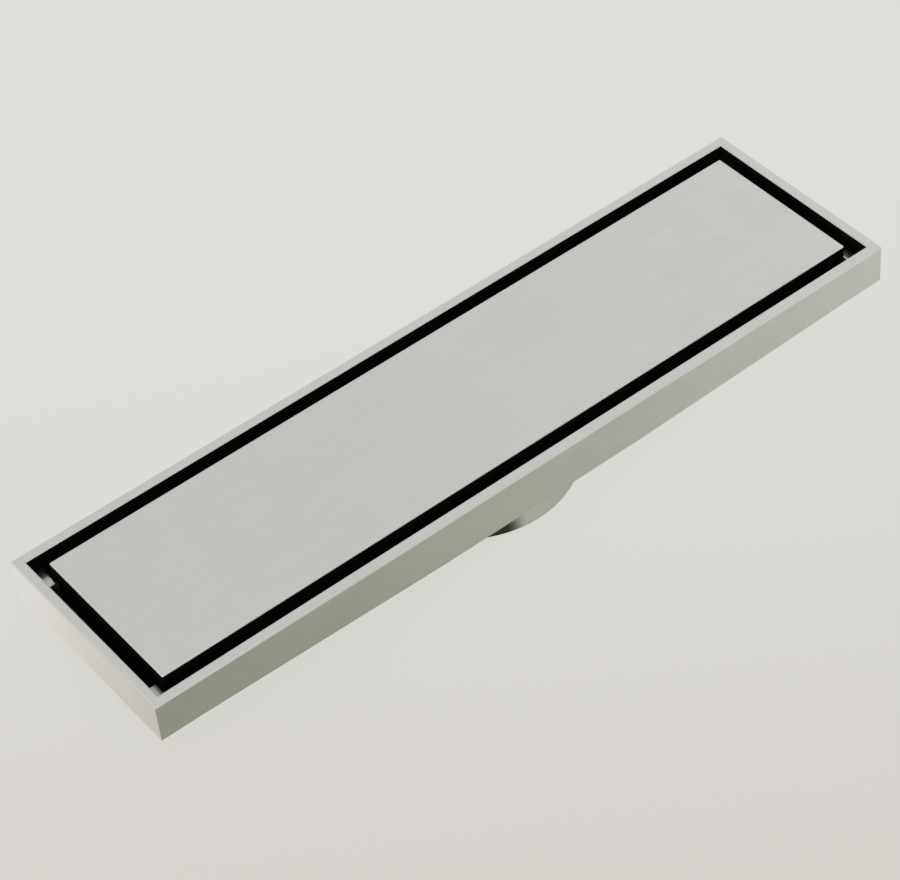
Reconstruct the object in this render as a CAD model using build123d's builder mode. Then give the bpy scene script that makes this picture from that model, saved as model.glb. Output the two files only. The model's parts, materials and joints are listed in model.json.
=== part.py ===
"""Tile-insert floor drain: bar frame, sloping floor, reversible tile tray and drop-in water-seal trap.

Millimetres. The origin is at the centre of the outlet collar's lower end.
+X runs along the drain and +Z points up.
"""
from build123d import *

import os
from math import pi

# Frame and floor
frame_length = 300.0
frame_width = 80.0
frame_height = 15.2
frame_wall = 3.5
frame_edge = 0.3
pan_sheet = 1.5
pan_fall = 2.4
pan_landing = 12.0
pan_level_margin = 2.3

# Outlet collar
collar_drop = 9.6
collar_wall = 1.5
collar_overhang = 1.0
outlet_ledge = 2.5

# Tile tray and its feet
water_gap = 5.2
under_tray_gap = 2.5
tray_sheet = 1.5
tray_edge = 0.6
foot_sheet = 1.2
foot_overlap = 3.0
foot_drop = 6.0
foot_bend = 1.0
foot_clearance = 0.3
foot_leg_lift = 0.5

# Water-seal trap
cup_clearance = 1.0
cup_lift = 0.5
cup_wall = 1.5
cup_edge = 1.0
flange_clearance = 0.7
flange_thickness = 1.8
seal_ring_thickness = 0.8
seal_ring_inset = 0.2
standpipe_diameter = 40.0
seal_depth = 4.0
bell_wall = 1.5
bell_rise = 1.7
bell_edge = 1.2
boss_radius = 4.0
boss_length = 5.0

# Strainer and its screw
strainer_sheet = 1.0
strainer_clearance = 0.2
slot_count = 16
slot_web = 3.0
slot_margin = 0.7
screw_radius = 2.0
screw_clearance = 0.1
screw_head_radius = 4.0
screw_head_height = 1.0
screw_slot_width = 1.0
screw_slot_depth = 0.5

# Inside of the frame
inner_length = frame_length - 2 * frame_wall
inner_width = frame_width - 2 * frame_wall

# Levels, from the lower end of the collar up
frame_base = collar_drop
end_base = frame_base + pan_fall
rim_top = end_base + frame_height
floor_top = frame_base + pan_sheet
landing_top = end_base + pan_sheet
tray_base = landing_top + under_tray_gap

# Radii, from the collar inwards
collar_outer = inner_width / 2 + collar_overhang
collar_bore = collar_outer - collar_wall
outlet_radius = collar_bore - outlet_ledge
flange_radius = inner_width / 2 - flange_clearance
cup_outer = outlet_radius - cup_clearance
cup_inner = cup_outer - cup_wall
standpipe_outer = standpipe_diameter / 2
standpipe_bore = standpipe_outer - cup_wall
bell_middle = (standpipe_outer + cup_inner) / 2
bell_outer = bell_middle + bell_wall / 2
bell_inner = bell_middle - bell_wall / 2

# Levels in the trap
flange_base = floor_top + seal_ring_thickness
flange_top = flange_base + flange_thickness
strainer_base = flange_top - strainer_sheet
cup_floor = cup_lift + cup_wall
bell_rim = cup_floor + bell_rise
weir_top = bell_rim + seal_depth
bell_roof = strainer_base - bell_wall
boss_base = bell_roof - boss_length

os.makedirs("parts", exist_ok=True)

# Frame: flat bar welded into a ring, its lower edge following the floor's fall, its rim's edges broken
level_half = collar_outer + pan_level_margin
slope_start = inner_length / 2 - pan_landing
with BuildPart() as rim_frame:
    with BuildSketch(Plane.XZ):
        with BuildLine():
            Polyline(
                (0, rim_top),
                (frame_length / 2, rim_top),
                (frame_length / 2, end_base),
                (slope_start, end_base),
                (level_half, frame_base),
                (0, frame_base),
                close=True,
            )
        make_face()
        mirror(about=Plane.YZ)
    extrude(amount=frame_width / 2, both=True)
    with BuildSketch(Plane.XY.offset(rim_top)):
        Rectangle(inner_length, inner_width)
    extrude(amount=frame_base - rim_top, mode=Mode.SUBTRACT)
    chamfer(rim_frame.faces().sort_by(Axis.Z)[-1].edges(), frame_edge)
rim_frame.part.label = "rim_frame"
export_step(rim_frame.part, "parts/rim_frame.step")

# Floor: level under the feet and round the outlet, falling between them, flush with the frame's lower edge
with BuildPart() as channel_pan:
    with BuildSketch(Plane.XZ):
        with BuildLine():
            Polyline(
                (0, floor_top),
                (level_half, floor_top),
                (slope_start, landing_top),
                (inner_length / 2, landing_top),
                (inner_length / 2, end_base),
                (slope_start, end_base),
                (level_half, frame_base),
                (0, frame_base),
                close=True,
            )
        make_face()
        mirror(about=Plane.YZ)
    extrude(amount=inner_width / 2, both=True)
    with Locations((0, 0, floor_top)):
        Hole(outlet_radius)
channel_pan.part.label = "channel_pan"
export_step(channel_pan.part, "parts/channel_pan.step")

# Outlet collar: a tube butted against the underside, wider than the hole so that the floor leaves a ledge
with BuildPart() as outlet_collar:
    with BuildSketch():
        Circle(collar_outer)
        Circle(collar_bore, mode=Mode.SUBTRACT)
    extrude(amount=collar_drop)
outlet_collar.part.label = "outlet_collar"
export_step(outlet_collar.part, "parts/outlet_collar.step")

# Tile tray: one folded sheet, plate side up and flush with the rim
tray_length = inner_length - 2 * water_gap
tray_width = inner_width - 2 * water_gap
tray_depth = rim_top - tray_base
with BuildPart() as tile_tray:
    with BuildSketch(Plane.XY.offset(tray_base)):
        Rectangle(tray_length, tray_width)
    extrude(amount=tray_depth)
    fillet(tile_tray.edges().filter_by(Axis.Z), tray_edge)
    fillet(tile_tray.faces().sort_by(Axis.Z)[-1].edges(), tray_edge)
    with BuildSketch(Plane.XY.offset(tray_base)):
        Rectangle(tray_length - 2 * tray_sheet, tray_width - 2 * tray_sheet)
    extrude(amount=tray_depth - tray_sheet, mode=Mode.SUBTRACT)
tile_tray.part.label = "tile_tray"
export_step(tile_tray.part, "parts/tile_tray.step")

# Tray feet: folded strips across the end gaps at the corners, one leg on the skirt and one on the floor
foot_start = tray_length / 2
foot_end = inner_length / 2 - foot_clearance
foot_top = rim_top - foot_drop
foot_leg_base = tray_base + foot_leg_lift
foot_inner = tray_width / 2 - tray_edge - foot_overlap
foot_outer = inner_width / 2 - foot_clearance
foot_middle = (foot_inner + foot_outer) / 2
with BuildPart() as tray_feet:
    with BuildSketch(Plane.XZ.offset(foot_middle)):
        with BuildLine():
            Polyline(
                (foot_start, foot_leg_base),
                (foot_start, foot_top),
                (foot_end, foot_top),
                (foot_end, landing_top),
                (foot_end - foot_sheet, landing_top),
                (foot_end - foot_sheet, foot_top - foot_sheet),
                (foot_start + foot_sheet, foot_top - foot_sheet),
                (foot_start + foot_sheet, foot_leg_base),
                close=True,
            )
        make_face()
    extrude(amount=(foot_outer - foot_inner) / 2, both=True)
    fillet(tray_feet.faces().sort_by(Axis.Z)[-1].edges().filter_by(Axis.Y), foot_bend)
    mirror(about=Plane.XZ)
    mirror(about=Plane.YZ)
tray_feet.part.label = "tray_feet"
export_step(tray_feet.part, "parts/tray_feet.step")

# Trap cup: flange, wall, trough floor and standpipe in one moulding, with a rebate for the strainer
rebate_radius = cup_outer + strainer_clearance
with BuildPart() as trap_cup:
    with BuildSketch(Plane.XZ):
        with BuildLine():
            Polyline(
                (standpipe_bore, cup_lift),
                (cup_outer, cup_lift),
                (cup_outer, flange_base),
                (flange_radius, flange_base),
                (flange_radius, flange_top),
                (rebate_radius, flange_top),
                (rebate_radius, strainer_base),
                (cup_inner, strainer_base),
                (cup_inner, cup_floor),
                (standpipe_outer, cup_floor),
                (standpipe_outer, weir_top),
                (standpipe_bore, weir_top),
                close=True,
            )
        make_face()
    revolve(axis=Axis.Z)
    chamfer(trap_cup.faces().sort_by(Axis.Z)[0].edges().sort_by(SortBy.RADIUS)[-1], cup_edge)
trap_cup.part.label = "trap_cup"
export_step(trap_cup.part, "parts/trap_cup.step")

# Seal ring between the cup's flange and the floor
with BuildPart() as trap_seal_ring:
    with BuildSketch(Plane.XY.offset(floor_top)):
        Circle(flange_radius - seal_ring_inset)
        Circle(outlet_radius + seal_ring_inset, mode=Mode.SUBTRACT)
    extrude(amount=seal_ring_thickness)
trap_seal_ring.part.label = "trap_seal_ring"
export_step(trap_seal_ring.part, "parts/trap_seal_ring.step")

# Bell: an inverted cup round the standpipe, with a boss for the screw
pilot_radius = screw_radius + screw_clearance
with BuildPart() as trap_bell:
    with BuildSketch(Plane.XZ):
        with BuildLine():
            Polyline(
                (pilot_radius, strainer_base),
                (bell_outer, strainer_base),
                (bell_outer, bell_rim),
                (bell_inner, bell_rim),
                (bell_inner, bell_roof),
                (boss_radius, bell_roof),
                (boss_radius, boss_base),
                (pilot_radius, boss_base),
                close=True,
            )
        make_face()
    revolve(axis=Axis.Z)
    chamfer(trap_bell.faces().sort_by(Axis.Z)[-1].edges().sort_by(SortBy.RADIUS)[-1], bell_edge)
trap_bell.part.label = "trap_bell"
export_step(trap_bell.part, "parts/trap_bell.step")

# Strainer: a disc with a ring of slots over the gap between the bell and the cup's wall
slot_ring = (bell_outer + cup_inner) / 2
slot_width = cup_inner - bell_outer - 2 * slot_margin
slot_length = 2 * pi * slot_ring / slot_count - slot_web
with BuildPart() as hair_strainer:
    with BuildSketch(Plane.XY.offset(strainer_base)):
        Circle(cup_outer)
        Circle(pilot_radius, mode=Mode.SUBTRACT)
        with PolarLocations(slot_ring, slot_count):
            SlotOverall(slot_length, slot_width, rotation=90, mode=Mode.SUBTRACT)
    extrude(amount=strainer_sheet)
hair_strainer.part.label = "hair_strainer"
export_step(hair_strainer.part, "parts/hair_strainer.step")

# Screw through the strainer into the bell's boss, with a low slotted head
head_top = flange_top + screw_head_height
with BuildPart() as strainer_screw:
    with BuildSketch(Plane.XY.offset(boss_base)):
        Circle(screw_radius)
    extrude(amount=flange_top - boss_base)
    with BuildSketch(Plane.XY.offset(flange_top)):
        Circle(screw_head_radius)
    extrude(amount=screw_head_height)
    with BuildSketch(Plane.XY.offset(head_top)):
        Rectangle(2 * screw_head_radius, screw_slot_width)
    extrude(amount=-screw_slot_depth, mode=Mode.SUBTRACT)
strainer_screw.part.label = "strainer_screw"
export_step(strainer_screw.part, "parts/strainer_screw.step")
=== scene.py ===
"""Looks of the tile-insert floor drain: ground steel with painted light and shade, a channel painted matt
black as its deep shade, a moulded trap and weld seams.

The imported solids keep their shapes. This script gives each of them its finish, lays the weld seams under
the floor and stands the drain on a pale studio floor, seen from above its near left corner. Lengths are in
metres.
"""

import json
import logging
from dataclasses import dataclass, field
from enum import Enum
from functools import cache
from math import cos, pi, radians, sin
from typing import Dict, List, Mapping, Optional, Sequence, Tuple, Union

import bmesh
import bpy
from mathutils import Matrix, Vector

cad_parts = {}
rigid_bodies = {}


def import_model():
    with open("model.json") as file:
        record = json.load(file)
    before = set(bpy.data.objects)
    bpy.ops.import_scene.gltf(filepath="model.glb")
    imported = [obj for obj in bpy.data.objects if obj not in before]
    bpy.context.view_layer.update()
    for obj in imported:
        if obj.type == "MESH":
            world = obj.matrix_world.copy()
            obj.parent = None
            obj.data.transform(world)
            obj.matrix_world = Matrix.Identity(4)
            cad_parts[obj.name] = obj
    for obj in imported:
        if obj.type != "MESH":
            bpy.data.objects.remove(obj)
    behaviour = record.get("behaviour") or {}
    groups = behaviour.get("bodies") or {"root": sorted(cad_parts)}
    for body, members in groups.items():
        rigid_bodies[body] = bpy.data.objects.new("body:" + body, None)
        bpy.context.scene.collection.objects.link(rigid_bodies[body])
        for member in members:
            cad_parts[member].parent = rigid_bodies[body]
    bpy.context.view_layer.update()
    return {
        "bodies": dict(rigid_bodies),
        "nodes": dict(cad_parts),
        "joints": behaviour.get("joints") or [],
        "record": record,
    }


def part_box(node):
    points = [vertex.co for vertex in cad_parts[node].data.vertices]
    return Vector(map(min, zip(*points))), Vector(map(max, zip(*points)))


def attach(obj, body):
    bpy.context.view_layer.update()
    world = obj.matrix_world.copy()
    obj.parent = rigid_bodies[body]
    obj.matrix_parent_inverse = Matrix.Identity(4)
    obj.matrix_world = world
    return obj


LOG = logging.getLogger("floor_drain")
BODY = "root"
IMAGE_WIDTH = 900
MM = 0.001

Colour = Tuple[float, float, float]
Point = Tuple[float, float, float]
Span = Tuple[Colour, Colour]
Range = Tuple[float, float]
Feed = Union[bpy.types.NodeSocket, float, Sequence[float]]

# Grain: how much finer the fine lines are than the broad ones
GRAIN_FINENESS = {"Broad": 1.0, "Fine": 3.7}
GRAIN_DETAIL = 2.0

# Clouds: specks to the width of one cloud, and where the two are strong enough to leave a mark
CLOUD_DETAIL = 3.0
SPECK_RATIO = 6.0
SPECK_DETAIL = 2.0
MARKED_CLOUD: Range = (0.52, 0.66)
MARKED_SPECK: Range = (0.35, 0.6)

# Border of the matt black painted as shade in the channel: its waves to the metre, and the middle of the
# noise that makes them
WAVES = 600.0
WAVE_DETAIL = 1.0
NOISE_MIDDLE = 0.5

# Weld beads: corners round a bead, steps along one ripple, how the ends of a stitch thin out and its sizes
BEAD_SIDES = 10
RIPPLE_STEPS = 6
END_TAPER: Range = (-0.05, 0.12)
STITCH_SIZES: Range = (0.88, 1.08)
MERGE_DISTANCE = 0.001 * MM
GEOMETRY = {"Geometry": "NodeSocketGeometry"}
BEAD_INPUTS = {
    **GEOMETRY,
    "Bead": "NodeSocketFloat",
    "Ripples": "NodeSocketInt",
    "Depth": "NodeSocketFloat",
    "Material": "NodeSocketMaterial",
}
STITCH_INPUTS = {
    **BEAD_INPUTS,
    "Length": "NodeSocketFloat",
    "Spacing": "NodeSocketFloat",
    "Seed": "NodeSocketInt",
}


class BlackShade(Enum):
    """Where a steel piece is painted matt black, as painted shade for the dark depths of the channel."""

    NONE = "bare all over"
    INNER_WALL = "black on the walls that face the channel"
    SKIRT = "black on the outside of the skirt"
    UPPER_FACE = "black on the faces that look up"


class Graph:
    """Adds nodes to one node tree and joins their sockets, by number where several share a name."""

    def __init__(self, tree: bpy.types.NodeTree) -> None:
        """Start on a tree.

        Args:
            tree: Shader or geometry tree that takes the nodes.
        """
        self.tree = tree

    def feed(self, socket: bpy.types.NodeSocket, value: Feed) -> None:
        """Join an output to a socket, or set the socket's own value.

        Args:
            socket: Input that is fed.
            value: Output socket, number or vector.
        """
        if isinstance(value, bpy.types.NodeSocket):
            self.tree.links.new(value, socket)
        else:
            socket.default_value = value

    def add(
        self, kind: str, feeds: Optional[Mapping[Union[str, int], Feed]] = None, **settings: object
    ) -> bpy.types.Node:
        """Add a node.

        Args:
            kind: Blender's name of the node type.
            feeds: Values for its inputs, by socket name or number.
            settings: Values for its properties.

        Returns:
            The new node.
        """
        node = self.tree.nodes.new(kind)
        for name, value in settings.items():
            setattr(node, name, value)
        for key, value in (feeds or {}).items():
            self.feed(node.inputs[key], value)
        return node

    def math(self, operation: str, *terms: Feed) -> bpy.types.NodeSocket:
        """Work out a number from up to three others.

        Args:
            operation: Blender's name of the operation.
            terms: Its terms, in order.

        Returns:
            The result.
        """
        return self.add("ShaderNodeMath", dict(enumerate(terms)), operation=operation).outputs[0]

    def noise(self, point: Feed, scale: Feed, detail: float) -> bpy.types.NodeSocket:
        """Make smooth noise in space.

        Args:
            point: Where it is read.
            scale: How closely it changes.
            detail: How many finer layers it has.

        Returns:
            The noise, from 0 to 1.
        """
        feeds = {"Vector": point, "Scale": scale, "Detail": detail}
        return self.add("ShaderNodeTexNoise", feeds).outputs[0]

    def ease(self, value: Feed, source: Range, result: Range = (0.0, 1.0)) -> bpy.types.NodeSocket:
        """Carry a number smoothly from one range to another.

        Args:
            value: Number to carry over.
            source: Where the first range starts and ends.
            result: The second range, which holds beyond the first one's ends too.

        Returns:
            The eased number.
        """
        feeds = dict(enumerate((value, *source, *result)))
        return self.add("ShaderNodeMapRange", feeds, interpolation_type="SMOOTHSTEP").outputs[0]

    def between(self, share: Feed, first: Feed, second: Feed) -> bpy.types.NodeSocket:
        """Mix two numbers.

        Args:
            share: Share of the second, from 0 to 1.
            first: Number at share 0.
            second: Number at share 1.

        Returns:
            The mixed number.
        """
        return self.add("ShaderNodeMix", {0: share, 2: first, 3: second}, data_type="FLOAT").outputs[0]

    def tint(self, share: Feed, first: Feed, second: Feed) -> bpy.types.NodeSocket:
        """Mix two colours.

        Args:
            share: Share of the second, from 0 to 1.
            first: Colour at share 0.
            second: Colour at share 1.

        Returns:
            The mixed colour.
        """
        feeds = {0: share, 6: opaque(first), 7: opaque(second)}
        return self.add("ShaderNodeMix", feeds, data_type="RGBA").outputs[2]

    def shade(self, colour: Feed, factor: Feed) -> bpy.types.NodeSocket:
        """Make a colour lighter or darker.

        Args:
            colour: Colour to change.
            factor: What each channel is multiplied by.

        Returns:
            The changed colour.
        """
        return self.add("ShaderNodeVectorMath", {0: colour, 3: factor}, operation="SCALE").outputs[0]

    def split(self, vector: bpy.types.NodeSocket) -> List[bpy.types.NodeSocket]:
        """Take a vector apart into x, y and z."""
        return list(self.add("ShaderNodeSeparateXYZ", {0: vector}).outputs)

    def place(self, group: bpy.types.NodeTree, **feeds: Feed) -> bpy.types.NodeOutputs:
        """Place a shader group with its own values.

        Args:
            group: The shared group.
            feeds: Values for its named inputs, with _ for a space.

        Returns:
            The outputs of the group's node.
        """
        node = self.add("ShaderNodeGroup", node_tree=group)
        for name, value in feeds.items():
            self.feed(node.inputs[name.replace("_", " ")], value)
        return node.outputs


def opaque(colour: Feed) -> Feed:
    """Give a plain colour the alpha that a colour socket needs, and pass a socket on."""
    return (*colour, 1.0) if isinstance(colour, tuple) and len(colour) == 3 else colour


def new_group(
    name: str, kind: str, takes: Mapping[str, str], gives: Mapping[str, str]
) -> Tuple[Graph, bpy.types.NodeOutputs, bpy.types.NodeInputs]:
    """Start a node group with named sockets.

    Args:
        name: Name of the group.
        kind: Blender's name of the tree type.
        takes: Socket type of each input, by name.
        gives: Socket type of each output, by name.

    Returns:
        The group's graph, its inputs as outputs to join from, and its outputs as inputs to join to.
    """
    tree = bpy.data.node_groups.new(name, kind)
    for label, socket in takes.items():
        tree.interface.new_socket(label, in_out="INPUT", socket_type=socket)
    for label, socket in gives.items():
        tree.interface.new_socket(label, in_out="OUTPUT", socket_type=socket)
    graph = Graph(tree)
    return graph, graph.add("NodeGroupInput").outputs, graph.add("NodeGroupOutput").inputs


@cache
def grain_group() -> bpy.types.NodeTree:
    """Build the lines that a grinding belt leaves, broad and fine.

    Returns:
        The shader group.
    """
    graph, takes, gives = new_group(
        "ground_grain",
        "ShaderNodeTree",
        {
            "Point": "NodeSocketVector",
            "Turned": "NodeSocketFloat",
            "Pitch": "NodeSocketFloat",
            "Run": "NodeSocketFloat",
        },
        {"Broad": "NodeSocketFloat", "Fine": "NodeSocketFloat"},
    )
    x, y, z = graph.split(takes["Point"])
    along = graph.math("DIVIDE", graph.between(takes["Turned"], x, y), takes["Run"])
    across = graph.between(takes["Turned"], y, x)
    stretched = graph.add("ShaderNodeCombineXYZ", {0: along, 1: across, 2: z}).outputs[0]
    for label, fineness in GRAIN_FINENESS.items():
        scale = graph.math("MULTIPLY", takes["Pitch"], fineness)
        graph.feed(gives[label], graph.noise(stretched, scale, GRAIN_DETAIL))
    return graph.tree


@cache
def cloud_group() -> bpy.types.NodeTree:
    """Build soft patches for uneven tone and for marks left by handling.

    Returns:
        The shader group.
    """
    graph, takes, gives = new_group(
        "soft_clouds",
        "ShaderNodeTree",
        {"Point": "NodeSocketVector", "Size": "NodeSocketFloat"},
        {"Cloud": "NodeSocketFloat", "Marks": "NodeSocketFloat"},
    )
    scale = graph.math("DIVIDE", 1.0, takes["Size"])
    cloud = graph.noise(takes["Point"], scale, CLOUD_DETAIL)
    speck = graph.noise(takes["Point"], graph.math("MULTIPLY", scale, SPECK_RATIO), SPECK_DETAIL)
    marks = graph.math("MULTIPLY", graph.ease(cloud, MARKED_CLOUD), graph.ease(speck, MARKED_SPECK))
    graph.feed(gives["Cloud"], cloud)
    graph.feed(gives["Marks"], marks)
    return graph.tree


@cache
def bounds_group() -> bpy.types.NodeTree:
    """Build masks for what lies within a level rectangle, below a wavering line, and in the end bars.

    Returns:
        The shader group.
    """
    graph, takes, gives = new_group(
        "within_bounds",
        "ShaderNodeTree",
        {
            "Point": "NodeSocketVector",
            "Half Length": "NodeSocketFloat",
            "Half Width": "NodeSocketFloat",
            "Level": "NodeSocketFloat",
            "Waver": "NodeSocketFloat",
        },
        {"Within": "NodeSocketFloat", "Below": "NodeSocketFloat", "Turned": "NodeSocketFloat"},
    )
    x, y, z = graph.split(takes["Point"])
    past_end = graph.math("SUBTRACT", graph.math("ABSOLUTE", x), takes["Half Length"])
    past_side = graph.math("SUBTRACT", graph.math("ABSOLUTE", y), takes["Half Width"])
    graph.feed(gives["Within"], graph.math("LESS_THAN", graph.math("MAXIMUM", past_end, past_side), 0.0))
    graph.feed(gives["Turned"], graph.math("GREATER_THAN", past_end, past_side))
    wave = graph.math("SUBTRACT", graph.noise(takes["Point"], WAVES, WAVE_DETAIL), NOISE_MIDDLE)
    line = graph.math("MULTIPLY_ADD", wave, takes["Waver"], takes["Level"])
    graph.feed(gives["Below"], graph.math("LESS_THAN", z, line))
    return graph.tree


@dataclass(frozen=True)
class Finish:
    """A material on Object coordinates.

    Attributes:
        name: Name of the material.
    """

    name: str

    def paint(self, graph: Graph, shader: bpy.types.Node) -> None:
        """Join the finish's nodes to the shader.

        Args:
            graph: The material's own tree.
            shader: Its Principled BSDF.
        """
        raise NotImplementedError

    def material(self) -> bpy.types.Material:
        """Build the material.

        Returns:
            The new material.
        """
        material = bpy.data.materials.new(self.name)
        material.use_nodes = True
        self.paint(Graph(material.node_tree), material.node_tree.nodes["Principled BSDF"])
        return material


@dataclass(frozen=True)
class SteelFinish(Finish):
    """Stainless steel: belt-ground where it looks up, mill-rolled elsewhere, with painted light and shade:
    darker towards -X, lighter ends and outer edge, and matt black painted as shade in places.

    Attributes:
        half_length: Half the length inside which the inner walls are painted black as shade, or outside
            which the skirt is.
        half_width: The same across.
        rim_top: Level of the top, where the painted black shade stops a little short.
        black_shade: Where matt black is painted as shade.
        mitred: True where the grain turns at the corners.
        ground_and_shade: Colours of the ground steel, at the -X end and at the +X end, a little darker
            towards -X as painted shade.
        rolled_and_shade: Colours of the mill-rolled sides, at the same ends, darker and more olive towards
            -X as painted shade.
        end_light_share: Share of painted light on the faces that look along X.
        painted_end_light: Colours of the painted light on the ends, at the -Y side and at the +Y side.
        edge_drop: How far the painted highlight band of the outer edge runs down the long sides, or 0 for
            none.
        end_edge_drop: How far it runs down the ends, and down the sides next to the -X end.
        edge_taper: Share of the length over which it widens from the one to the other.
        edge_blur: Share of its depth over which it fades out, to each side.
        edge: Colours of the painted highlight band along the outer edge, at the -X end and at the +X end.
        end_edge: Its colours on the ends, a painted shade darker than the ends, at the -Y side and at the
            +Y side.
        level_faces: How far up a face looks where the ground steel starts and where it is complete.
        end_faces: The same along X, for the painted light on the ends.
        drift: Length over which the colours change along X, which carries the painted shade.
        end_drift: Length over which they change along Y, which carries the painted light on the ends.
        unevenness: Share of the drift that the clouds shift.
        ground_roughness: Roughness of the ground steel.
        rolled_roughness: Roughness of the mill-rolled steel.
        lines: Broad lines of the grain to the metre.
        run: How many times as long as wide a line is.
        cloud_size: Size of one cloud.
        grain_tone: How much the grain changes the tone.
        cloud_tone: How much the clouds lighten it.
        mark_tone: How much the marks darken it.
        fine_lines: Part of the fine grain that changes the roughness.
        grain_roughness: How much it does, either way.
        mark_roughness: How much the marks add to the roughness.
        bump: Strength of the grain's relief.
        relief: Height of the grain's relief.
        shade_gap: How far below the top the painted black shade stops.
        waver: How far the border of the painted black shade wavers.
        shade_faces: How far up a face looks where black painted as shade on the upper faces starts and
            where it is complete.
        shade_colour: Colour of the matt black painted as shade.
        shade_roughness: Roughness of the painted black shade.
        shade_gloss: Specular level of the painted black shade.
        painted_shadow: Colour of a painted patch of shadow.
        shadow_place: Centre of the painted shadow.
        shadow_radius: Radius of the painted shadow, or 0 for none.
        shadow_core: Share of that radius within which the painted shadow is full.
    """

    half_length: float = 1.0
    half_width: float = 1.0
    rim_top: float = 0.0
    black_shade: BlackShade = BlackShade.NONE
    mitred: bool = False
    ground_and_shade: Span = ((0.664, 0.657, 0.637), (0.718, 0.713, 0.696))
    rolled_and_shade: Span = ((0.421, 0.440, 0.370), (0.708, 0.710, 0.678))
    end_light_share: float = 0.0
    painted_end_light: Span = ((0.735, 0.725, 0.680), (0.965, 0.965, 0.960))
    edge_drop: float = 0.0
    end_edge_drop: float = 0.6 * MM
    edge_taper: float = 0.3
    edge_blur: float = 0.15
    edge: Span = ((0.780, 0.775, 0.735), (0.850, 0.845, 0.815))
    end_edge: Span = ((0.560, 0.555, 0.530), (0.640, 0.635, 0.615))
    level_faces: Range = (0.35, 0.65)
    end_faces: Range = (0.45, 0.65)
    drift: float = 300 * MM
    end_drift: float = 80 * MM
    unevenness: float = 0.15
    ground_roughness: float = 0.40
    rolled_roughness: float = 0.50
    lines: float = 1400.0
    run: float = 45.0
    cloud_size: float = 60 * MM
    grain_tone: float = 0.10
    cloud_tone: float = 0.08
    mark_tone: float = 0.03
    fine_lines: Range = (0.2, 0.8)
    grain_roughness: float = 0.05
    mark_roughness: float = 0.05
    bump: float = 0.12
    relief: float = 0.02 * MM
    shade_gap: float = 0.45 * MM
    waver: float = 0.15 * MM
    shade_faces: Range = (0.3, 0.6)
    shade_colour: Colour = (0.003, 0.003, 0.0025)
    shade_roughness: float = 0.85
    shade_gloss: float = 0.05
    painted_shadow: Colour = (0.050, 0.052, 0.034)
    shadow_place: Point = (0.0, 0.0, 0.0)
    shadow_radius: float = 0.0
    shadow_core: float = 0.42

    def paint(self, graph: Graph, shader: bpy.types.Node) -> None:
        """Join grain, clouds, painted light and shade, and the matt black painted as shade to the shader.

        Args:
            graph: The material's own tree.
            shader: Its Principled BSDF.
        """
        point = graph.add("ShaderNodeTexCoord").outputs["Object"]
        endward, _, upward = graph.split(graph.add("ShaderNodeNewGeometry").outputs["Normal"])
        looks_along = graph.ease(graph.math("ABSOLUTE", endward), self.end_faces, (0.0, self.end_light_share))
        looks_across = graph.math("SUBTRACT", 1.0, looks_along)
        looks_up = graph.math("MULTIPLY", graph.ease(upward, self.level_faces), looks_across)
        bounds = graph.place(
            bounds_group(),
            Point=point,
            Half_Length=self.half_length,
            Half_Width=self.half_width,
            Level=self.rim_top - self.shade_gap,
            Waver=self.waver,
        )
        turned = bounds["Turned"] if self.mitred else 0.0
        grain = graph.place(grain_group(), Point=point, Turned=turned, Pitch=self.lines, Run=self.run)
        cloud = graph.place(cloud_group(), Point=point, Size=self.cloud_size)
        tone = graph.math("MULTIPLY_ADD", grain["Broad"], self.grain_tone, 1.0 - self.grain_tone)
        tone = graph.math("MULTIPLY_ADD", cloud["Cloud"], self.cloud_tone, tone)
        tone = graph.math("MULTIPLY_ADD", cloud["Marks"], -self.mark_tone, tone)
        steel = graph.shade(self.bare(graph, point, cloud["Cloud"], looks_along, looks_up), tone)
        # A painted patch of shadow, where one is set.
        if self.shadow_radius:
            steel = self.with_painted_shadow(graph, point, steel)
        spread = graph.ease(grain["Fine"], self.fine_lines, (-self.grain_roughness, self.grain_roughness))
        rough = graph.between(looks_up, self.rolled_roughness, self.ground_roughness)
        rough = graph.math("ADD", rough, spread)
        rough = graph.math("MULTIPLY_ADD", cloud["Marks"], self.mark_roughness, rough)
        # Matt black painted as shade where the piece lies deep in the channel.
        painted_black = self.painted_black(graph, bounds, upward)
        graph.feed(shader.inputs["Base Color"], graph.tint(painted_black, steel, self.shade_colour))
        graph.feed(shader.inputs["Roughness"], graph.between(painted_black, rough, self.shade_roughness))
        graph.feed(shader.inputs["Metallic"], graph.math("SUBTRACT", 1.0, painted_black))
        graph.feed(shader.inputs["Specular IOR Level"], self.shade_gloss)
        height = graph.math("ADD", grain["Broad"], grain["Fine"])
        feeds = {"Strength": self.bump, "Distance": self.relief, "Height": height}
        graph.feed(shader.inputs["Normal"], graph.add("ShaderNodeBump", feeds).outputs[0])

    def bare(
        self, graph: Graph, point: Feed, cloud: Feed, looks_along: Feed, looks_up: Feed
    ) -> bpy.types.NodeSocket:
        """Work out the colour of the bare steel, with its painted light and shade.

        Args:
            graph: The material's own tree.
            point: Object coordinates.
            cloud: Soft clouds.
            looks_along: 1 on the ends, which carry painted light.
            looks_up: 1 on the ground faces.

        Returns:
            The colour, without the tone of the grain.
        """
        x, y, z = graph.split(point)
        middle = (1.0 - self.unevenness) / 2
        uneven = graph.math("MULTIPLY_ADD", cloud, self.unevenness, middle)
        lengthwise = graph.math("MULTIPLY_ADD", x, 1.0 / self.drift, uneven)
        crosswise = graph.math("MULTIPLY_ADD", y, 1.0 / self.end_drift, uneven)
        # Painted light on the ends, lighter towards +Y.
        ends = graph.tint(crosswise, *self.painted_end_light)
        # Sides: painted shade makes them darker and more olive towards -X.
        sides = graph.tint(looks_along, graph.tint(lengthwise, *self.rolled_and_shade), ends)
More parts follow.
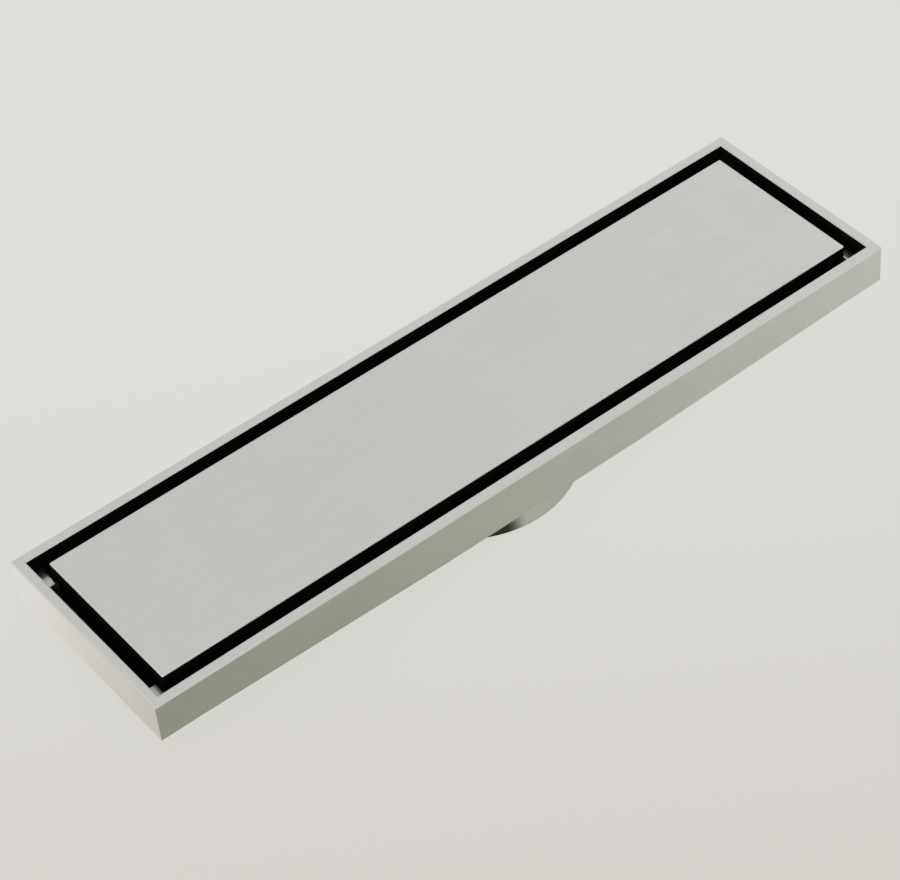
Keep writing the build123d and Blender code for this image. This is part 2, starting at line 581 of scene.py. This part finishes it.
        # A painted highlight band along the outer edge of the long sides, which turns to painted shade on
        # the ends.
        if self.edge_drop:
            end_edge = graph.tint(crosswise, *self.end_edge)
            edge = graph.tint(looks_along, graph.tint(lengthwise, *self.edge), end_edge)
            drop = graph.ease(lengthwise, (0.0, self.edge_taper), (self.end_edge_drop, self.edge_drop))
            drop = graph.between(looks_along, drop, self.end_edge_drop)
            depth = graph.math("DIVIDE", graph.math("SUBTRACT", self.rim_top, z), drop)
            edge_lit = graph.ease(depth, (1.0 - self.edge_blur, 1.0 + self.edge_blur), (1.0, 0.0))
            sides = graph.tint(edge_lit, sides, edge)
        # Tops: a little darker towards -X as painted shade.
        return graph.tint(looks_up, sides, graph.tint(lengthwise, *self.ground_and_shade))

    def with_painted_shadow(self, graph: Graph, point: Feed, steel: Feed) -> bpy.types.NodeSocket:
        """Darken the steel in a painted patch of shadow.

        Args:
            graph: The material's own tree.
            point: Object coordinates.
            steel: Colour of the steel.

        Returns:
            The tinted colour.
        """
        feeds = {0: point, 1: self.shadow_place}
        away = graph.add("ShaderNodeVectorMath", feeds, operation="DISTANCE").outputs["Value"]
        in_shadow = graph.ease(away, (self.shadow_core * self.shadow_radius, self.shadow_radius), (1.0, 0.0))
        return graph.tint(in_shadow, steel, self.painted_shadow)

    def painted_black(self, graph: Graph, bounds: bpy.types.NodeOutputs, upward: bpy.types.NodeSocket) -> Feed:
        """Work out where matt black is painted as shade.

        Args:
            graph: The material's own tree.
            bounds: Masks of the piece's bounds.
            upward: How far the face looks up.

        Returns:
            1 where the black is painted as shade and 0 elsewhere.
        """
        if self.black_shade is BlackShade.INNER_WALL:
            return graph.math("MULTIPLY", bounds["Within"], bounds["Below"])
        if self.black_shade is BlackShade.SKIRT:
            return graph.math("MULTIPLY", graph.math("SUBTRACT", 1.0, bounds["Within"]), bounds["Below"])
        if self.black_shade is BlackShade.UPPER_FACE:
            return graph.ease(upward, self.shade_faces)
        return 0.0


@dataclass(frozen=True)
class WeldFinish(Finish):
    """Bare weld metal with the straw and blue tints of the heat.

    Attributes:
        bead: Colour of the clean bead.
        straw: Tint where it ran hot.
        blue: Tint where it ran hottest.
        cloud_size: Size of one patch of tint.
        hot: Part of the clouds over which the bead turns to straw.
        hottest: Part over which straw turns to blue.
        roughness: Roughness of the clean bead and of its marks.
    """

    bead: Colour = (0.56, 0.55, 0.52)
    straw: Colour = (0.46, 0.37, 0.22)
    blue: Colour = (0.20, 0.22, 0.30)
    cloud_size: float = 9 * MM
    hot: Range = (0.42, 0.58)
    hottest: Range = (0.58, 0.72)
    roughness: Range = (0.30, 0.45)

    def paint(self, graph: Graph, shader: bpy.types.Node) -> None:
        """Join the tints to the shader.

        Args:
            graph: The material's own tree.
            shader: Its Principled BSDF.
        """
        point = graph.add("ShaderNodeTexCoord").outputs["Object"]
        cloud = graph.place(cloud_group(), Point=point, Size=self.cloud_size)
        warm = graph.tint(graph.ease(cloud["Cloud"], self.hot), self.bead, self.straw)
        colour = graph.tint(graph.ease(cloud["Cloud"], self.hottest), warm, self.blue)
        graph.feed(shader.inputs["Base Color"], colour)
        graph.feed(shader.inputs["Roughness"], graph.ease(cloud["Marks"], (0.0, 1.0), self.roughness))
        graph.feed(shader.inputs["Metallic"], 1.0)


@dataclass(frozen=True)
class MouldedFinish(Finish):
    """Moulded plastic or rubber with a fine matt texture.

    Attributes:
        colour: Colour of the material.
        worn: Colour where it is rubbed and dusty.
        roughness: Roughness of the clean surface.
        spread: How far the roughness strays, either way.
        mottle: Part of the clouds over which it strays.
        cloud_size: Size of one cloud.
        texture: Size of one grain of the texture.
        bump: Strength of the texture.
        relief: Height of the texture.
    """

    colour: Colour = (0.030, 0.030, 0.032)
    worn: Colour = (0.060, 0.060, 0.060)
    roughness: float = 0.55
    spread: float = 0.06
    mottle: Range = (0.3, 0.7)
    cloud_size: float = 18 * MM
    texture: float = 0.25 * MM
    bump: float = 0.5
    relief: float = 0.03 * MM

    def paint(self, graph: Graph, shader: bpy.types.Node) -> None:
        """Join the texture to the shader.

        Args:
            graph: The material's own tree.
            shader: Its Principled BSDF.
        """
        point = graph.add("ShaderNodeTexCoord").outputs["Object"]
        cloud = graph.place(cloud_group(), Point=point, Size=self.cloud_size)
        grains = graph.place(cloud_group(), Point=point, Size=self.texture)
        limits = (self.roughness - self.spread, self.roughness + self.spread)
        graph.feed(shader.inputs["Base Color"], graph.tint(cloud["Marks"], self.colour, self.worn))
        graph.feed(shader.inputs["Roughness"], graph.ease(cloud["Cloud"], self.mottle, limits))
        feeds = {"Strength": self.bump, "Distance": self.relief, "Height": grains["Cloud"]}
        graph.feed(shader.inputs["Normal"], graph.add("ShaderNodeBump", feeds).outputs[0])


def ripple_bead(
    graph: Graph, curve: Feed, takes: bpy.types.NodeOutputs, taper: bool
) -> bpy.types.NodeSocket:
    """Sweep a round bead with even ripples along a curve.

    Args:
        graph: The geometry tree.
        curve: Curve that the bead follows.
        takes: The tree's inputs, with Bead, Ripples and Depth.
        taper: True where the bead thins out at its ends.

    Returns:
        The bead's mesh.
    """
    steps = graph.math("MULTIPLY", takes["Ripples"], RIPPLE_STEPS)
    fine = graph.add("GeometryNodeResampleCurve", {"Curve": curve, "Count": steps}).outputs[0]
    place = graph.add("GeometryNodeSplineParameter").outputs["Factor"]
    wave = graph.math("SINE", graph.math("MULTIPLY", graph.math("MULTIPLY", place, takes["Ripples"]), pi))
    trough = graph.math("SUBTRACT", 1.0, takes["Depth"])
    scale = graph.math("MULTIPLY_ADD", graph.math("ABSOLUTE", wave), takes["Depth"], trough)
    if taper:
        off_middle = graph.math("ABSOLUTE", graph.math("SUBTRACT", place, 0.5))
        from_end = graph.math("SUBTRACT", 0.5, off_middle)
        scale = graph.math("MULTIPLY", scale, graph.ease(from_end, END_TAPER))
    feeds = {"Resolution": BEAD_SIDES, "Radius": takes["Bead"]}
    profile = graph.add("GeometryNodeCurvePrimitiveCircle", feeds).outputs[0]
    feeds = {"Curve": fine, "Profile Curve": profile, "Scale": scale, "Fill Caps": True}
    return graph.add("GeometryNodeCurveToMesh", feeds).outputs[0]


def close_tree(
    graph: Graph, mesh: Feed, takes: bpy.types.NodeOutputs, gives: bpy.types.NodeInputs
) -> None:
    """End a geometry tree in plain, smooth geometry with its material.

    Args:
        graph: The geometry tree.
        mesh: Geometry to end with.
        takes: The tree's inputs, with Material.
        gives: The tree's outputs, with Geometry.
    """
    real = graph.add("GeometryNodeRealizeInstances", {"Geometry": mesh}).outputs[0]
    smooth = graph.add("GeometryNodeSetShadeSmooth", {"Geometry": real}).outputs[0]
    feeds = {"Geometry": smooth, "Material": takes["Material"]}
    graph.feed(gives["Geometry"], graph.add("GeometryNodeSetMaterial", feeds).outputs[0])


def seam_tree() -> bpy.types.NodeTree:
    """Build the tree of an unbroken seam along a path.

    Returns:
        The geometry tree.
    """
    graph, takes, gives = new_group("unbroken_seam", "GeometryNodeTree", BEAD_INPUTS, GEOMETRY)
    path = graph.add("GeometryNodeMeshToCurve", {"Mesh": takes["Geometry"]}).outputs[0]
    close_tree(graph, ripple_bead(graph, path, takes, taper=False), takes, gives)
    return graph.tree


def stitch_tree() -> bpy.types.NodeTree:
    """Build the tree of short stitch welds spaced along paths.

    Returns:
        The geometry tree.
    """
    graph, takes, gives = new_group("stitched_seam", "GeometryNodeTree", STITCH_INPUTS, GEOMETRY)
    half = graph.math("MULTIPLY", takes["Length"], 0.5)
    start = graph.add("ShaderNodeCombineXYZ", {0: graph.math("MULTIPLY", half, -1.0)}).outputs[0]
    end = graph.add("ShaderNodeCombineXYZ", {0: half}).outputs[0]
    line = graph.add("GeometryNodeCurvePrimitiveLine", {"Start": start, "End": end}).outputs[0]
    stitch = ripple_bead(graph, line, takes, taper=True)
    path = graph.add("GeometryNodeMeshToCurve", {"Mesh": takes["Geometry"]}).outputs[0]
    feeds = {"Curve": path, "Length": takes["Spacing"]}
    spaced = graph.add("GeometryNodeResampleCurve", feeds, mode="LENGTH").outputs[0]
    tangent = graph.add("GeometryNodeInputTangent").outputs[0]
    turn = graph.add("FunctionNodeAlignRotationToVector", {"Vector": tangent}, axis="X").outputs[0]
    smallest, largest = STITCH_SIZES
    feeds = {2: smallest, 3: largest, "Seed": takes["Seed"]}
    size = graph.add("FunctionNodeRandomValue", feeds).outputs[1]
    feeds = {"Points": spaced, "Instance": stitch, "Rotation": turn, "Scale": size}
    close_tree(graph, graph.add("GeometryNodeInstanceOnPoints", feeds).outputs[0], takes, gives)
    return graph.tree


def path_mesh(name: str, runs: Sequence[Sequence[Point]], closed: bool = False) -> bpy.types.Mesh:
    """Make a mesh of edges along some runs of points.

    Args:
        name: Name of the mesh.
        runs: The points of each run, in order.
        closed: True where each run ends where it starts.

    Returns:
        The mesh.
    """
    points: List[Point] = []
    edges: List[Tuple[int, int]] = []
    for run in runs:
        first = len(points)
        points.extend(run)
        edges.extend((first + i, first + i + 1) for i in range(len(run) - 1))
        if closed:
            edges.append((len(points) - 1, first))
    mesh = bpy.data.meshes.new(name)
    mesh.from_pydata(points, edges, [])
    return mesh


def grow(
    name: str, tree: bpy.types.NodeTree, path: bpy.types.Mesh, values: Mapping[str, object]
) -> bpy.types.Object:
    """Run a geometry tree along a path and keep the result as a plain mesh.

    Args:
        name: Name of the new piece.
        tree: The geometry tree.
        path: Mesh of the path's edges.
        values: Values for the tree's inputs, by name.

    Returns:
        The piece, linked to the scene and riding on the drain.
    """
    source = bpy.data.objects.new(f"{name}_path", path)
    bpy.context.scene.collection.objects.link(source)
    modifier = source.modifiers.new("shape", "NODES")
    modifier.node_group = tree
    for item in tree.interface.items_tree:
        if item.in_out == "INPUT" and item.name in values:
            modifier[item.identifier] = values[item.name]
    mesh = bpy.data.meshes.new_from_object(source.evaluated_get(bpy.context.evaluated_depsgraph_get()))
    source.modifiers.remove(modifier)
    bpy.data.objects.remove(source)
    shell = bmesh.new()
    shell.from_mesh(mesh)
    bmesh.ops.remove_doubles(shell, verts=shell.verts, dist=MERGE_DISTANCE)
    bmesh.ops.recalc_face_normals(shell, faces=shell.faces)
    shell.to_mesh(mesh)
    shell.free()
    mesh.name = name
    piece = bpy.data.objects.new(name, mesh)
    bpy.context.scene.collection.objects.link(piece)
    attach(piece, BODY)
    return piece


def wear(nodes: Mapping[str, bpy.types.Object], finishes: Mapping[str, Finish]) -> List[bpy.types.Object]:
    """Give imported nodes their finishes.

    Args:
        nodes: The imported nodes.
        finishes: Finish that a node gets, by the node's name.

    Returns:
        The pieces that are now finished.
    """
    for name, finish in finishes.items():
        mesh = nodes[name].data
        mesh.materials.clear()
        mesh.materials.append(finish.material())
    return [nodes[name] for name in finishes]


@dataclass
class Channel:
    """Bar frame, sloping floor and outlet collar, with the seams that join them.

    Attributes:
        inner_half_length: Half the length inside the frame.
        inner_half_width: Half the width inside the frame.
        rim_top: Level of the rim.
        floor_base: Level of the floor's underside round the outlet.
        floor_end_top: Level of the floor at its ends.
        collar_radius: Outer radius of the collar.
        floor_sheet: Thickness of the floor.
        level_half: Half the length over which the floor is level.
        slope_start: Where the floor's slope starts, from the middle.
        shade_margin: How far outside the inner walls the bounds of their painted black shade lie.
        edge_drop: How far the painted highlight band of the frame's outer edge runs down its long sides.
        tube: Colours of the collar's steel, at the -X end and at the +X end.
        bead: Radius of a weld bead.
        bead_drop: Share of that radius by which the collar's seam hangs below the floor.
        ripple_depth: Share of the bead that its ripples take.
        ring_corners: Corners of the path round the collar.
        ring_ripples: Ripples round the collar.
        stitch: Length of one stitch weld.
        stitch_ripples: Ripples along one stitch weld.
        spacing: Distance between stitch welds.
        seed: Seed of their sizes.
        corner_clearance: Distance from a corner to the stitch welds of the ends.
        burn_angle: Turn from the near side to the painted shadow on the collar, in degrees.
        shadow_level: Level of the painted shadow.
        shadow_radius: Radius of the painted shadow.
    """

    inner_half_length: float
    inner_half_width: float
    rim_top: float
    floor_base: float
    floor_end_top: float
    collar_radius: float
    floor_sheet: float = 1.5 * MM
    level_half: float = 39.8 * MM
    slope_start: float = 134.5 * MM
    shade_margin: float = 0.05 * MM
    edge_drop: float = 1.2 * MM
    tube: Span = ((0.625, 0.635, 0.570), (0.665, 0.670, 0.620))
    bead: float = 0.9 * MM
    bead_drop: float = 0.3
    ripple_depth: float = 0.3
    ring_corners: int = 96
    ring_ripples: int = 120
    stitch: float = 12.0 * MM
    stitch_ripples: int = 7
    spacing: float = 40.0 * MM
    seed: int = 3
    corner_clearance: float = 8.0 * MM
    burn_angle: float = -27.0
    shadow_level: float = 1.5 * MM
    shadow_radius: float = 13.0 * MM

    @classmethod
    def from_frame(cls) -> "Channel":
        """Read the channel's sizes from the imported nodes.

        Returns:
            The channel.
        """
        pan_low, pan_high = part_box("channel_pan")
        return cls(
            inner_half_length=pan_high.x,
            inner_half_width=pan_high.y,
            rim_top=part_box("rim_frame")[1].z,
            floor_base=pan_low.z,
            floor_end_top=pan_high.z,
            collar_radius=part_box("outlet_collar")[1].x,
        )

    def dress(self, nodes: Mapping[str, bpy.types.Object]) -> List[bpy.types.Object]:
        """Give the frame, the floor and the collar their finishes.

        Args:
            nodes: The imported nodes.

        Returns:
            The three pieces.
        """
        frame = SteelFinish(
            "frame_steel",
            half_length=self.inner_half_length + self.shade_margin,
            half_width=self.inner_half_width + self.shade_margin,
            rim_top=self.rim_top,
            # Matt black painted as shade on the inner walls.
            black_shade=BlackShade.INNER_WALL,
            mitred=True,
            # Painted light on the ends and a painted highlight band along the outer edge.
            end_light_share=1.0,
            edge_drop=self.edge_drop,
        )
        # The floor's upper faces painted matt black as shade.
        floor = SteelFinish("floor_steel", black_shade=BlackShade.UPPER_FACE)
        # The collar carries a painted shadow at its left front.
        turn = radians(self.burn_angle)
        place = (self.collar_radius * sin(turn), -self.collar_radius * cos(turn), self.shadow_level)
        collar = SteelFinish(
            "collar_steel", rolled_and_shade=self.tube, shadow_place=place, shadow_radius=self.shadow_radius
        )
        return wear(nodes, {"rim_frame": frame, "channel_pan": floor, "outlet_collar": collar})

    def weld(self) -> List[bpy.types.Object]:
        """Lay the seam round the collar and the stitches along the floor.

        Returns:
            The two pieces.
        """
        finish = WeldFinish("weld_metal").material()
        bead = {"Bead": self.bead, "Depth": self.ripple_depth, "Material": finish}
        seam = {**bead, "Ripples": self.ring_ripples}
        stitches = {
            **bead,
            "Ripples": self.stitch_ripples,
            "Length": self.stitch,
            "Spacing": self.spacing,
            "Seed": self.seed,
        }
        ring = path_mesh("collar_seam", [self.collar_seam()], closed=True)
        lines = path_mesh("floor_seams", self.floor_seams())
        return [
            grow("collar_weld", seam_tree(), ring, seam),
            grow("floor_welds", stitch_tree(), lines, stitches),
        ]

    def collar_seam(self) -> List[Point]:
        """Work out where the collar meets the floor's underside.

        Returns:
            The points of the seam.
        """
        radius, level = self.collar_radius, self.floor_base - self.bead_drop * self.bead
        turns = (2 * pi * corner / self.ring_corners for corner in range(self.ring_corners))
        return [(radius * cos(turn), radius * sin(turn), level) for turn in turns]

    def floor_seams(self) -> List[List[Point]]:
        """Work out where the floor's underside meets the frame.

        Returns:
            The points of each seam.
        """
        seams: List[List[Point]] = []
        high, low = self.floor_end_top - self.floor_sheet, self.floor_base
        reach = self.inner_half_width - self.corner_clearance
        for end in (-1, 1):
            x = end * self.inner_half_length
            seams.append([(x, -reach, high), (x, reach, high)])
            for y in (-self.inner_half_width, self.inner_half_width):
                seams.append([(end * self.slope_start, y, high), (end * self.level_half, y, low)])
        return seams


@dataclass
class TileTray:
    """Folded tray, flat side up, and the strips that carry it.

    Attributes:
        half_length: Half the tray's length.
        half_width: Half the tray's width.
        top: Level of the plate.
        shade_margin: How far inside the skirt's outside the bounds of its painted black shade lie.
        foot_tones: Colours of the strips' ground steel, darker and more olive than the tray's, at the -X
            end and at the +X end.
        foot_roughness: Roughness of that steel.
    """

    half_length: float
    half_width: float
    top: float
    shade_margin: float = 0.25 * MM
    foot_tones: Span = ((0.560, 0.570, 0.500), (0.560, 0.570, 0.500))
    foot_roughness: float = 0.22

    @classmethod
    def from_frame(cls) -> "TileTray":
        """Read the tray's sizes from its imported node."""
        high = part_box("tile_tray")[1]
        return cls(half_length=high.x, half_width=high.y, top=high.z)

    def dress(self, nodes: Mapping[str, bpy.types.Object]) -> List[bpy.types.Object]:
        """Give the tray and its feet their finishes.

        Args:
            nodes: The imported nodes.

        Returns:
            The two pieces.
        """
        tray = SteelFinish(
            "tray_steel",
            half_length=self.half_length - self.shade_margin,
            half_width=self.half_width - self.shade_margin,
            rim_top=self.top,
            # Matt black painted as shade on the outside of the skirt.
            black_shade=BlackShade.SKIRT,
        )
        # The strips: steel darker and more olive than the tray's.
        feet = SteelFinish("foot_steel", ground_and_shade=self.foot_tones, ground_roughness=self.foot_roughness)
        return wear(nodes, {"tile_tray": tray, "tray_feet": feet})


@dataclass
class WaterTrap:
    """Trap cup with its seal, bell, strainer and screw.

    Attributes:
        plastic: Finish of the mouldings.
        rubber: Finish of the seal.
    """

    plastic: MouldedFinish = MouldedFinish("trap_plastic")
    rubber: MouldedFinish = MouldedFinish(
        "ring_rubber",
        colour=(0.020, 0.020, 0.021),
        worn=(0.045, 0.044, 0.042),
        roughness=0.75,
        texture=0.4 * MM,
    )

    def dress(self, nodes: Mapping[str, bpy.types.Object]) -> List[bpy.types.Object]:
        """Give the trap's pieces their finishes.

        Args:
            nodes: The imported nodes.

        Returns:
            The five pieces.
        """
        finishes = {
            "trap_cup": self.plastic,
            "trap_bell": self.plastic,
            "trap_seal_ring": self.rubber,
            "hair_strainer": SteelFinish("strainer_steel"),
            "strainer_screw": SteelFinish("screw_steel"),
        }
        return wear(nodes, finishes)


@dataclass(frozen=True)
class Lamp:
    """A soft, square studio lamp.

    Attributes:
        name: Name of the lamp.
        place: Where it hangs.
        aim: Point that it faces.
        size: Width of its panel.
        watts: Its power.
        colour: Its colour.
    """

    name: str
    place: Point
    aim: Point
    size: float
    watts: float
    colour: Colour = (1.0, 1.0, 1.0)

    def hang(self) -> None:
        """Add the lamp to the scene."""
        light = bpy.data.lights.new(self.name, "AREA")
        light.shape = "SQUARE"
        light.size = self.size
        light.energy = self.watts
        light.color = self.colour
        lamp = bpy.data.objects.new(self.name, light)
        lamp.location = self.place
        facing = Vector(self.aim) - Vector(self.place)
        lamp.rotation_euler = facing.to_track_quat("-Z", "Y").to_euler()
        bpy.context.scene.collection.objects.link(lamp)


@dataclass
class Studio:
    """Pale floor, soft light and the camera.

    Attributes:
        azimuth: Turn of the camera about the upright axis, in degrees.
        elevation: Angle of the camera above the floor, in degrees.
        roll: Turn of the camera about its own axis, in degrees.
        distance: Distance from the camera to its target.
        target: Point on the rim's plane that the camera faces.
        focal_pixels: Focal length in pixels of the image.
        sensor: Width of the camera's sensor in millimetres.
        clip: Nearest and farthest distance that the camera sees.
        floor_radius: Radius of the floor.
        floor_sides: Corners of the floor's outline.
        pale: Colour of the floor's far part and of what lies beyond it.
        warm: Colour of the floor's near part, darker as painted shade towards the camera.
        fade: Where the floor starts to turn from warm to pale and where it has, from the middle onwards.
        shadow: Share of the floor's own light and shade that shows.
        mirrored_shadow: The same, where the floor is mirrored in the steel.
        sky: Brightness of the light from all round.
        sky_colour: Its colour.
        lamps: The lamps.
    """

    azimuth: float = -34.465
    elevation: float = 45.241
    roll: float = -5.903
    distance: float = 968.115 * MM
    target: Point = (-14.779 * MM, -12.216 * MM, 27.2 * MM)
    focal_pixels: float = 3013.519
    sensor: float = 36.0
    clip: Range = (0.05, 50.0)
    floor_radius: float = 6.0
    floor_sides: int = 96
    pale: Colour = (0.740, 0.732, 0.702)
    warm: Colour = (0.662, 0.641, 0.602)
    fade: Range = (-0.26, 0.14)
    shadow: float = 0.06
    mirrored_shadow: float = 0.45
    sky: float = 0.80
    sky_colour: Colour = (1.0, 0.995, 0.985)
    lamps: Sequence[Lamp] = field(
        default_factory=lambda: (
            Lamp("over_lamp", place=(-0.55, -0.35, 1.15), aim=(0.0, 0.0, 0.02), size=1.2, watts=3.0),
            Lamp(
                "left_lamp",
                place=(-0.9, 0.05, 0.40),
                aim=(-0.2, 0.0, 0.0),
                size=0.5,
                watts=2.0,
                colour=(1.0, 0.985, 0.96),
            ),
        )
    )

    def lay_floor(self) -> None:
        """Lay the floor, which shows its pale colour, a painted shade that darkens it towards the camera,
        and a little of the drain's shadow.
        """
        mesh = bpy.data.meshes.new("studio_floor")
        disc = bmesh.new()
        bmesh.ops.create_circle(disc, cap_ends=True, segments=self.floor_sides, radius=self.floor_radius)
        disc.to_mesh(mesh)
        disc.free()
        floor = bpy.data.objects.new("studio_floor", mesh)
        bpy.context.scene.collection.objects.link(floor)
        mesh.materials.append(self.floor_material())

    def floor_material(self) -> bpy.types.Material:
        """Build the floor's material.

        Returns:
            The material.
        """
        material = bpy.data.materials.new("pale_floor")
        material.use_nodes = True
        graph = Graph(material.node_tree)
        graph.tree.nodes.remove(graph.tree.nodes["Principled BSDF"])
        x, y, _ = graph.split(graph.add("ShaderNodeTexCoord").outputs["Object"])
        turn = radians(self.azimuth)
        ahead = graph.math("MULTIPLY_ADD", y, cos(turn), graph.math("MULTIPLY", x, -sin(turn)))
        # Painted shade: the floor turns from pale to a darker, warmer colour towards the camera.
        colour = graph.tint(graph.ease(ahead, self.fade), self.warm, self.pale)
        matt = graph.add("ShaderNodeBsdfDiffuse", {"Color": colour}).outputs[0]
        plain = graph.add("ShaderNodeEmission", {"Color": colour, "Strength": 1.0}).outputs[0]
        path = graph.add("ShaderNodeLightPath").outputs
        mirrored = graph.math("MAXIMUM", path["Is Glossy Ray"], path["Is Transmission Ray"])
        share = graph.between(mirrored, self.shadow, self.mirrored_shadow)
        shown = graph.add("ShaderNodeMixShader", {0: share, 1: plain, 2: matt}).outputs[0]
        seen = graph.math("MAXIMUM", path["Is Camera Ray"], mirrored)
        top = graph.add("ShaderNodeMixShader", {0: seen, 1: matt, 2: shown}).outputs[0]
        under = graph.add("ShaderNodeNewGeometry").outputs["Backfacing"]
        clear = graph.add("ShaderNodeBsdfTransparent").outputs[0]
        both = graph.add("ShaderNodeMixShader", {0: under, 1: top, 2: clear}).outputs[0]
        graph.feed(graph.tree.nodes["Material Output"].inputs["Surface"], both)
        return material

    def light(self) -> None:
        """Hang the lamps and light the sky."""
        for lamp in self.lamps:
            lamp.hang()
        world = bpy.data.worlds.new("studio_sky")
        world.use_nodes = True
        graph = Graph(world.node_tree)
        ambient = graph.tree.nodes["Background"]
        graph.feed(ambient.inputs["Color"], opaque(self.sky_colour))
        graph.feed(ambient.inputs["Strength"], self.sky)
        feeds = {"Color": opaque(self.pale), "Strength": 1.0}
        beyond = graph.add("ShaderNodeBackground", feeds).outputs[0]
        seen = graph.add("ShaderNodeLightPath").outputs["Is Camera Ray"]
        both = graph.add("ShaderNodeMixShader", {0: seen, 1: ambient.outputs[0], 2: beyond}).outputs[0]
        graph.feed(graph.tree.nodes["World Output"].inputs["Surface"], both)
        bpy.context.scene.world = world

    def set_camera(self) -> None:
        """Set up the camera at the photograph's viewing angle."""
        data = bpy.data.cameras.new("studio_camera")
        data.sensor_fit = "HORIZONTAL"
        data.sensor_width = self.sensor
        data.lens = self.focal_pixels * self.sensor / IMAGE_WIDTH
        data.clip_start, data.clip_end = self.clip
        turn, rise, tip = radians(self.azimuth), radians(self.elevation), radians(self.roll)
        back = Vector((sin(turn) * cos(rise), -cos(turn) * cos(rise), sin(rise)))
        level = Vector((cos(turn), sin(turn), 0.0))
        upright = back.cross(level)
        right = level * cos(tip) + upright * sin(tip)
        up = upright * cos(tip) - level * sin(tip)
        place = Vector(self.target) + back * self.distance
        camera = bpy.data.objects.new("studio_camera", data)
        camera.matrix_world = Matrix.Translation(place) @ Matrix((right, up, back)).transposed().to_4x4()
        bpy.context.scene.collection.objects.link(camera)
        bpy.context.scene.camera = camera

    def build(self) -> None:
        """Lay the floor, hang the lamps and set the camera."""
        self.lay_floor()
        self.light()
        self.set_camera()
        bpy.context.scene.view_settings.view_transform = "Standard"


def main() -> None:
    """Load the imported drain, dress it and build the studio round it."""
    logging.basicConfig(level=logging.INFO, format="%(name)s: %(message)s")
    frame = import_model()
    nodes = frame["nodes"]
    channel = Channel.from_frame()
    pieces = channel.dress(nodes) + channel.weld()
    pieces += TileTray.from_frame().dress(nodes) + WaterTrap().dress(nodes)
    for piece in pieces:
        LOG.info("%s: %d faces", piece.name, len(piece.data.polygons))
    Studio().build()


if __name__ == "__main__":
    main()
